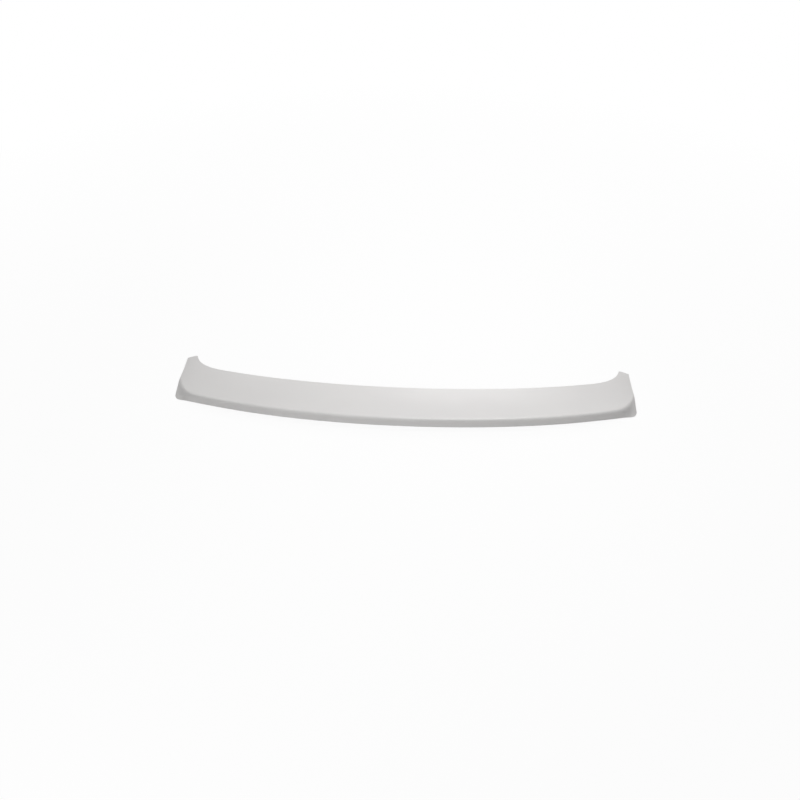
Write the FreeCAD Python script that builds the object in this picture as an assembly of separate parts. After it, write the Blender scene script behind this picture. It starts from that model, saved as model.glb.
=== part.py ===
import FreeCAD, Part
import math
import os

# Rear lip spoiler: one thin moulded shell, open underneath and bonded to the car along its rim.
# Millimetres. X runs across the car, Y forward and Z up.
# The origin is the middle of the rear wall's foot.

# Plan form
HALF_SPAN = 616.5
SWEEP = 84.7
LATE_SWEEP = 0.156
CHORD_MID = 142.5
CHORD_END = 137.6
FRONT_LAND = 8.0

# Heights
CROWN = 10.5
LIP_HEIGHT = 25.0
EDGE_HEIGHT = 3.5
END_DROP = 4.0
DROP_START = 0.8 * HALF_SPAN

# Rear wall, lip and corners
WALL_LEAN = 8.0
FOOT_CORNER = 12.0
LIP_CORNER = 64.0
CORNER_POWER = 2.4
LIP_ROUND_MID = 9.0
LIP_ROUND_END = 11.0
SIDE_ROUND = 30.0
SIDE_DROP = 0.5 * EDGE_HEIGHT
EDGE_ROUND = 0.34 * EDGE_HEIGHT

# Horns at the two front ends
HORN_START = 0.826 * HALF_SPAN
HORN_WIDTH = 26.0
HORN_REACH = 32.0
HORN_SLANT = 8.7
HORN_KNEE = 0.86
HORN_ROUND = 4.0

# Hollow underneath
SKIN = 2.5
BOND_LAND = 34.0
END_LAND = 26.0

# Construction
STATION_PAIRS = 10
CURVE_POINTS = 9
OVERSHOOT = 30.0


def vec(x, y, z):
    return FreeCAD.Vector(x, y, z)


def rear_y(x):
    """Rear line in plan: a parabola that turns harder towards the ends."""
    u = x / HALF_SPAN
    return SWEEP * ((1 - LATE_SWEEP) * u ** 2 + LATE_SWEEP * u ** 4)


def chord(x):
    """Distance from the rear line to the front edge."""
    return CHORD_MID + (CHORD_END - CHORD_MID) * (x / HALF_SPAN) ** 2


def front_y(x):
    """Front edge in plan."""
    return rear_y(x) + chord(x)


def front_slope(x):
    """Direction of the front edge in plan."""
    u = x / HALF_SPAN
    sweep = SWEEP / HALF_SPAN * (2 * (1 - LATE_SWEEP) * u + 4 * LATE_SWEEP * u ** 3)
    return sweep + 2 * (CHORD_END - CHORD_MID) * u / HALF_SPAN


def tip_y():
    """Foremost point of the horns."""
    return front_y(HALF_SPAN) + HORN_REACH


def crown_z(x):
    """Height of the car's panel under the spoiler."""
    return -CROWN * (x / HALF_SPAN) ** 2


def past(x, start):
    """How far a station lies between a start and the side, from 0 to 1."""
    return min(max(abs(x) - start, 0.0) / (HALF_SPAN - start), 1.0)


def corner_y(x, reach):
    """How far a line turns forward where it goes round the rear corner."""
    return reach * past(x, HALF_SPAN - reach) ** CORNER_POWER


def side_z(x):
    """How far the top rolls down beside the outer edge."""
    return SIDE_DROP * past(x, HALF_SPAN - SIDE_ROUND) ** 2


def foot_y(x):
    """Foot of the rear wall in plan, with its small corner."""
    return rear_y(x) + corner_y(x, FOOT_CORNER)


def foot_z(x):
    """Height of the rear wall's foot, which falls away from the panel near the ends."""
    return crown_z(x) - END_DROP * past(x, DROP_START) ** 2


def lip_y(x):
    """Lip in plan: inside the foot by the wall's lean, and cut back round the corner."""
    lean = LIP_HEIGHT * math.tan(math.radians(WALL_LEAN))
    return rear_y(x) + lean + corner_y(x, LIP_CORNER)


def behind(line, x, thin):
    """Line moved forward so that an even wall stays behind it."""
    slope = (line(x + 1) - line(x - 1)) / 2
    return line(x) + thin * math.hypot(1, slope)


def lip_round(x):
    """Size of the round on the lip, which softens towards the ends."""
    return LIP_ROUND_MID + (LIP_ROUND_END - LIP_ROUND_MID) * (x / HALF_SPAN) ** 2


def bezier(*poles):
    """Edge along a Bezier curve."""
    curve = Part.BezierCurve()
    curve.setPoles(list(poles))
    return curve.toShape()


def section(x, thin, sink, ahead):
    """Closed section along the chord: rear wall, rounded lip, rising skin, land, front and foot."""
    apex = front_y(x) - FRONT_LAND
    low = crown_z(x) + EDGE_HEIGHT - side_z(x) - thin
    rise = (LIP_HEIGHT - EDGE_HEIGHT) / (apex - lip_y(0.0) - rear_y(x)) ** 2

    def skin(y):
        return vec(x, y, low + rise * (apex - y) ** 2)

    lip = skin(behind(lip_y, x, thin))
    foot = vec(x, behind(foot_y, x, thin), foot_z(x))
    down = (foot - lip) * (1 + sink / (lip.z - foot.z))
    size = min(lip_round(x), 0.4 * (lip - foot).Length)
    wall_end = lip + down * (size / down.Length)
    skin_start = skin(lip.y + size)
    end = min(apex, ahead)
    knee = vec(x, (skin_start.y + end) / 2, low + rise * (apex - skin_start.y) * (apex - end))
    corners = [skin(end)]
    if ahead > apex:
        corners.append(vec(x, ahead, low))
    corners.append(vec(x, ahead, crown_z(x) - sink))
    corners.append(lip + down)
    lines = [Part.makeLine(a, b) for a, b in zip(corners, corners[1:])]
    wall = Part.makeLine(lip + down, wall_end)
    roll = bezier(wall_end, lip, skin_start)
    top = bezier(skin_start, knee, skin(end))
    return Part.Wire([wall, roll, top] + lines)


def stations(half):
    """Stations across the span, closer together towards the ends."""
    turns = [math.pi / 2 * i / STATION_PAIRS for i in range(-STATION_PAIRS, STATION_PAIRS + 1)]
    return [half * math.sin(turn) for turn in turns]


def outer_block():
    """Outside of the spoiler, with its front still uncut."""
    ahead = tip_y() + OVERSHOOT
    sections = [section(x, 0.0, 0.0, ahead) for x in stations(HALF_SPAN)]
    return Part.makeLoft(sections, True)


def hollow_block():
    """Space that is taken out underneath, parallel to the skin and the rear wall."""
    places = stations(HALF_SPAN - END_LAND)
    sections = [section(x, SKIN, OVERSHOOT, front_y(x) - BOND_LAND) for x in places]
    return Part.makeLoft(sections, True)


def front_line(z):
    """Edge along the front, between the two horns."""
    steps = [2.0 * i / (CURVE_POINTS - 1) - 1 for i in range(CURVE_POINTS)]
    curve = Part.BSplineCurve()
    curve.interpolate([vec(HORN_START * s, front_y(HORN_START * s), z) for s in steps])
    return curve.toShape()


def front_cutter():
    """Upright block that leaves the front edge and the horns."""
    z = -(CROWN + END_DROP + OVERSHOOT)
    wide = HALF_SPAN + OVERSHOOT
    inner_tip = vec(HALF_SPAN - HORN_WIDTH, tip_y(), z)
    outer_tip = vec(wide, tip_y() - HORN_SLANT * (HORN_WIDTH + OVERSHOOT) / HORN_WIDTH, z)
    leave = vec(HORN_START, front_y(HORN_START), z)
    run = HORN_KNEE * (inner_tip.x - HORN_START)
    knee = vec(leave.x + run, leave.y + front_slope(HORN_START) * run, z)
    back = vec(wide, -OVERSHOOT, z)
    side = Part.makeLine(back, outer_tip)
    tip = Part.makeLine(outer_tip, inner_tip)
    right = [side, tip, bezier(inner_tip, knee, leave)]
    left = [edge.mirror(vec(0, 0, 0), vec(1, 0, 0)) for edge in reversed(right)]
    rear = Part.makeLine(vec(-wide, -OVERSHOOT, z), back)
    outline = Part.Wire(Part.__sortEdges__([rear] + right + [front_line(z)] + left))
    return Part.Face(outline).extrude(vec(0, 0, LIP_HEIGHT + 2 * OVERSHOOT - z))


def middle_of(edge):
    """Point halfway along an edge."""
    return edge.valueAt((edge.FirstParameter + edge.LastParameter) / 2)


def tip_edges(solid):
    """Upright edges at the inner corners of the horn tips."""
    tips = []
    for edge in solid.Edges:
        box = edge.BoundBox
        if box.ZLength > 0.9 * edge.Length and box.YMax > tip_y() - HORN_SLANT / 2:
            tips.append(edge)
    return tips


def front_edges(solid):
    """Upper edges of the front and of the horn tips."""
    found = []
    for edge in solid.Edges:
        middle = middle_of(edge)
        faces = solid.ancestorsOfType(edge, Part.Face)
        tops = [face for face in faces if face.normalAt(*face.Surface.parameter(middle)).z > 0.8]
        ahead = middle.y > front_y(middle.x) - FRONT_LAND / 2
        if len(tops) == 1 and ahead and abs(middle.x) < HALF_SPAN - HORN_WIDTH / 10:
            found.append(edge)
    return found


def outer_form():
    """Outside of the spoiler with its front, horns and front round."""
    cutter = front_cutter()
    cutter = cutter.makeFillet(HORN_ROUND, tip_edges(cutter))
    form = outer_block().common(cutter).Solids[0]
    return form.makeFillet(EDGE_ROUND, front_edges(form))


os.makedirs("parts", exist_ok=True)
shell = outer_form().cut(hollow_block()).Solids[0]
shell.exportStep("parts/spoiler_shell.step")
box = shell.optimalBoundingBox()
print("valid", shell.isValid(), "faces", len(shell.Faces), "volume", round(shell.Volume))
print("size", round(box.XLength, 2), round(box.YLength, 2), round(box.ZLength, 2))
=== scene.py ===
"""Rear lip spoiler on a plain white studio floor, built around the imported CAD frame."""

import logging
import math
from dataclasses import dataclass, field
from enum import Enum

import bpy
from mathutils import Matrix, Vector


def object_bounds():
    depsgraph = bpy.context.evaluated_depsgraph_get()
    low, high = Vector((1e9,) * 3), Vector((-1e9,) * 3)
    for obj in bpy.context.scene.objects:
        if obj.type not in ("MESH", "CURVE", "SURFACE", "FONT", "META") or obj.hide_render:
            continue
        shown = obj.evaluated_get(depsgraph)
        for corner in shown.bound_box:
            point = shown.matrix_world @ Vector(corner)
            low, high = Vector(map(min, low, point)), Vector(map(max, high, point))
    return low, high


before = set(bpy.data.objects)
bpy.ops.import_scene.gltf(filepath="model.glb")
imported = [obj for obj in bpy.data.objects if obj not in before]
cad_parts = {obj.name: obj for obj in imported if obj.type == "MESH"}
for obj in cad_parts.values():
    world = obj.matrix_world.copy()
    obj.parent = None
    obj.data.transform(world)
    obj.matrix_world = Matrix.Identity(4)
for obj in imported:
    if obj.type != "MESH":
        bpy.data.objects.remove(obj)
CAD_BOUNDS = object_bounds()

LOG = logging.getLogger("spoiler")
WHITE = (1.0, 1.0, 1.0, 1.0)


class Node(Enum):
    """CAD nodes of the part."""

    SHELL = "spoiler_shell"


class Lamp(Enum):
    """Soft lamps of the studio."""

    OVERHEAD = "overhead_lamp"
    FAR_SIDE = "far_side_lamp"
    FAR_LEFT = "far_left_lamp"
    NEAR_SIDE = "near_side_lamp"


def seen_directly(tree: bpy.types.NodeTree) -> bpy.types.NodeSocket:
    """Add nodes that tell what the camera and reflections see from what only lights.

    Args:
        tree: Node tree of a material or the world.

    Returns:
        Socket that is 1 for camera and glossy rays and 0 for the others.
    """
    path = tree.nodes.new("ShaderNodeLightPath")
    either = tree.nodes.new("ShaderNodeMath")
    either.operation = "MAXIMUM"
    tree.links.new(path.outputs["Is Camera Ray"], either.inputs[0])
    tree.links.new(path.outputs["Is Glossy Ray"], either.inputs[1])
    return either.outputs["Value"]


@dataclass(frozen=True)
class MouldedSatin:
    """Pale unpainted moulding: satin, with a faint unevenness and a fine moulded grain."""

    name: str = "satin_moulding"
    pale: tuple = (0.735, 0.723, 0.713)
    shade: tuple = (0.715, 0.702, 0.696)
    roughness: float = 0.38
    specular: float = 0.4
    cloud_scale: float = 4.0
    cloud_detail: float = 3.0
    shade_below: float = 0.35
    pale_above: float = 0.65
    grain_scale: float = 900.0
    grain_detail: float = 2.0
    grain_strength: float = 0.03
    grain_height: float = 0.0002

    def build(self) -> bpy.types.Material:
        """Make the material from nodes on Object coordinates.

        Returns:
            The finished material.
        """
        material = bpy.data.materials.new(self.name)
        material.use_nodes = True
        tree = material.node_tree
        shader = tree.nodes["Principled BSDF"]
        shader.inputs["Roughness"].default_value = self.roughness
        shader.inputs["Specular IOR Level"].default_value = self.specular
        place = tree.nodes.new("ShaderNodeTexCoord").outputs["Object"]
        tree.links.new(self.tint(tree, place), shader.inputs["Base Color"])
        tree.links.new(self.grain(tree, place), shader.inputs["Normal"])
        return material

    def tint(self, tree: bpy.types.NodeTree, place: bpy.types.NodeSocket) -> bpy.types.NodeSocket:
        """Add the faint unevenness of the colour.

        Args:
            tree: Node tree of the material.
            place: Object coordinates.

        Returns:
            Socket with the colour.
        """
        cloud = tree.nodes.new("ShaderNodeTexNoise")
        cloud.inputs["Scale"].default_value = self.cloud_scale
        cloud.inputs["Detail"].default_value = self.cloud_detail
        ramp = tree.nodes.new("ShaderNodeValToRGB")
        low, high = ramp.color_ramp.elements
        low.position = self.shade_below
        low.color = (*self.shade, 1.0)
        high.position = self.pale_above
        high.color = (*self.pale, 1.0)
        tree.links.new(place, cloud.inputs["Vector"])
        tree.links.new(cloud.outputs["Fac"], ramp.inputs["Fac"])
        return ramp.outputs["Color"]

    def grain(self, tree: bpy.types.NodeTree, place: bpy.types.NodeSocket) -> bpy.types.NodeSocket:
        """Add the fine moulded grain.

        Args:
            tree: Node tree of the material.
            place: Object coordinates.

        Returns:
            Socket with the bumped normal.
        """
        grain = tree.nodes.new("ShaderNodeTexNoise")
        grain.inputs["Scale"].default_value = self.grain_scale
        grain.inputs["Detail"].default_value = self.grain_detail
        bump = tree.nodes.new("ShaderNodeBump")
        bump.inputs["Strength"].default_value = self.grain_strength
        bump.inputs["Distance"].default_value = self.grain_height
        tree.links.new(place, grain.inputs["Vector"])
        tree.links.new(grain.outputs["Fac"], bump.inputs["Height"])
        return bump.outputs["Normal"]


@dataclass(frozen=True)
class WhitePaper:
    """White studio paper that keeps a soft shadow and runs out into pure white, in metres."""

    name: str = "white_paper"
    colour: tuple = (0.9, 0.9, 0.9)
    seen_white: float = 0.94
    fade_from: float = 0.9
    fade_to: float = 2.2

    def build(self) -> bpy.types.Material:
        """Make the matt paper and mix plain white into what the camera and reflections see.

        Returns:
            The finished material.
        """
        material = bpy.data.materials.new(self.name)
        material.use_nodes = True
        nodes = material.node_tree.nodes
        links = material.node_tree.links
        nodes.remove(nodes["Principled BSDF"])
        paper = nodes.new("ShaderNodeBsdfDiffuse")
        paper.inputs["Color"].default_value = (*self.colour, 1.0)
        white = nodes.new("ShaderNodeEmission")
        white.inputs["Color"].default_value = WHITE
        white.inputs["Strength"].default_value = 1.0
        share = nodes.new("ShaderNodeMath")
        share.operation = "MULTIPLY"
        mix = nodes.new("ShaderNodeMixShader")
        links.new(seen_directly(material.node_tree), share.inputs[0])
        links.new(self.fade(material.node_tree), share.inputs[1])
        links.new(share.outputs["Value"], mix.inputs["Fac"])
        links.new(paper.outputs["BSDF"], mix.inputs[1])
        links.new(white.outputs["Emission"], mix.inputs[2])
        links.new(mix.outputs["Shader"], nodes["Material Output"].inputs["Surface"])
        return material

    def fade(self, tree: bpy.types.NodeTree) -> bpy.types.NodeSocket:
        """Add nodes that raise the share of plain white away from the part.

        Args:
            tree: Node tree of the material.

        Returns:
            Socket with the share of white.
        """
        place = tree.nodes.new("ShaderNodeTexCoord")
        away = tree.nodes.new("ShaderNodeVectorMath")
        away.operation = "LENGTH"
        share = tree.nodes.new("ShaderNodeMapRange")
        share.inputs["From Min"].default_value = self.fade_from
        share.inputs["From Max"].default_value = self.fade_to
        share.inputs["To Min"].default_value = self.seen_white
        share.inputs["To Max"].default_value = 1.0
        tree.links.new(place.outputs["Object"], away.inputs[0])
        tree.links.new(away.outputs["Value"], share.inputs["Value"])
        return share.outputs["Result"]


@dataclass
class Shell:
    """The moulded shell itself."""

    finish: MouldedSatin = field(default_factory=MouldedSatin)

    def build(self) -> bpy.types.Object:
        """Dress the CAD shell in its finish.

        Returns:
            The shell's object.
        """
        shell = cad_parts[Node.SHELL.value]
        shell.data.materials.clear()
        shell.data.materials.append(self.finish.build())
        return shell


@dataclass(frozen=True)
class SoftLamp:
    """One soft square lamp: its place and edge in metres, and its power in watts."""

    lamp: Lamp
    place: tuple
    edge: float
    power: float

    def hang(self, aim: Vector) -> bpy.types.Object:
        """Hang the lamp so that it faces a point.

        Args:
            aim: Point that the lamp faces.

        Returns:
            The lamp's object.
        """
        data = bpy.data.lights.new(self.lamp.value, "AREA")
        data.size = self.edge
        data.energy = self.power
        light = bpy.data.objects.new(self.lamp.value, data)
        bpy.context.scene.collection.objects.link(light)
        place = Vector(self.place)
        turn = (aim - place).to_track_quat("-Z", "Y").to_matrix().to_4x4()
        light.matrix_world = Matrix.Translation(place) @ turn
        return light


@dataclass
class Studio:
    """Floor, soft lamps and white surroundings."""

    floor_size: float = 12.0
    paper: WhitePaper = field(default_factory=WhitePaper)
    world_strength: float = 0.15
    aim: tuple = (0.08, 0.12, 0.0)
    lamps: tuple = (
        SoftLamp(Lamp.OVERHEAD, (0.2, 0.14, 1.3), 0.7, 8.2),
        SoftLamp(Lamp.FAR_SIDE, (0.3, 1.45, 1.45), 0.9, 12.4),
        SoftLamp(Lamp.FAR_LEFT, (-1.0, 1.3, 1.3), 0.8, 4.0),
        SoftLamp(Lamp.NEAR_SIDE, (-0.6, -1.6, 0.7), 0.8, 7.6),
    )

    def build(self) -> None:
        """Lay the floor, set the surroundings and hang the lamps."""
        self.lay_floor()
        self.set_world()
        for lamp in self.lamps:
            light = lamp.hang(Vector(self.aim))
            LOG.info("%s at %s", light.name, lamp.place)

    def lay_floor(self) -> None:
        """Add the floor plane under the part's lowest point."""
        low = CAD_BOUNDS[0][2]
        bpy.ops.object.select_all(action="DESELECT")
        bpy.ops.mesh.primitive_plane_add(size=self.floor_size, location=(0.0, 0.0, low))
        floor = bpy.context.active_object
        floor.name = "floor"
        floor.data.materials.append(self.paper.build())

    def set_world(self) -> None:
        """White surroundings, seen at full strength and lighting at less."""
        world = bpy.data.worlds.new("studio")
        bpy.context.scene.world = world
        world.use_nodes = True
        tree = world.node_tree
        back = tree.nodes["Background"]
        back.inputs["Color"].default_value = WHITE
        strength = tree.nodes.new("ShaderNodeMapRange")
        strength.inputs["To Min"].default_value = self.world_strength
        strength.inputs["To Max"].default_value = 1.0
        tree.links.new(seen_directly(tree), strength.inputs["Value"])
        tree.links.new(strength.outputs["Result"], back.inputs["Strength"])


@dataclass
class PhotoCamera:
    """Camera at the photograph's view: angles in degrees, lengths in metres, lens in mm."""

    elevation: float = 43.66
    yaw: float = 2.43
    roll: float = 0.527
    distance: float = 2.1665
    target: tuple = (-0.0108, 0.0969, 0.0)
    lens: float = 36.686
    sensor: float = 36.0
    reach: float = 50.0

    def turn(self) -> Matrix:
        """Work out the camera's axes from its three angles.

        Returns:
            Turn whose columns are the camera's right, up and backward directions.
        """
        e, yaw, roll = (math.radians(a) for a in (self.elevation, self.yaw, self.roll))
        back = Vector((math.sin(yaw) * math.cos(e), -math.cos(yaw) * math.cos(e), math.sin(e)))
        level = Vector((math.cos(yaw), math.sin(yaw), 0.0))
        upright = back.cross(level)
        right = level * math.cos(roll) + upright * math.sin(roll)
        return Matrix((right, back.cross(right), back)).transposed()

    def build(self) -> bpy.types.Object:
        """Place the camera and make it the scene's own.

        Returns:
            The camera's object.
        """
        data = bpy.data.cameras.new("photo_camera")
        data.lens = self.lens
        data.sensor_width = self.sensor
        data.clip_end = self.reach
        camera = bpy.data.objects.new("photo_camera", data)
        bpy.context.scene.collection.objects.link(camera)
        turn = self.turn()
        eye = Vector(self.target) + turn.col[2] * self.distance
        camera.matrix_world = Matrix.Translation(eye) @ turn.to_4x4()
        bpy.context.scene.camera = camera
        return camera


def main() -> None:
    """Build the shell's look, the studio and the camera, and note the sizes."""
    logging.basicConfig(level=logging.INFO)
    bpy.context.scene.view_settings.view_transform = "Standard"
    shell = Shell().build()
    LOG.info("shell %s has %d faces", shell.name, len(shell.data.polygons))
    Studio().build()
    camera = PhotoCamera().build()
    LOG.info("camera at %s", tuple(round(v, 3) for v in camera.location))


if __name__ == "__main__":
    main()
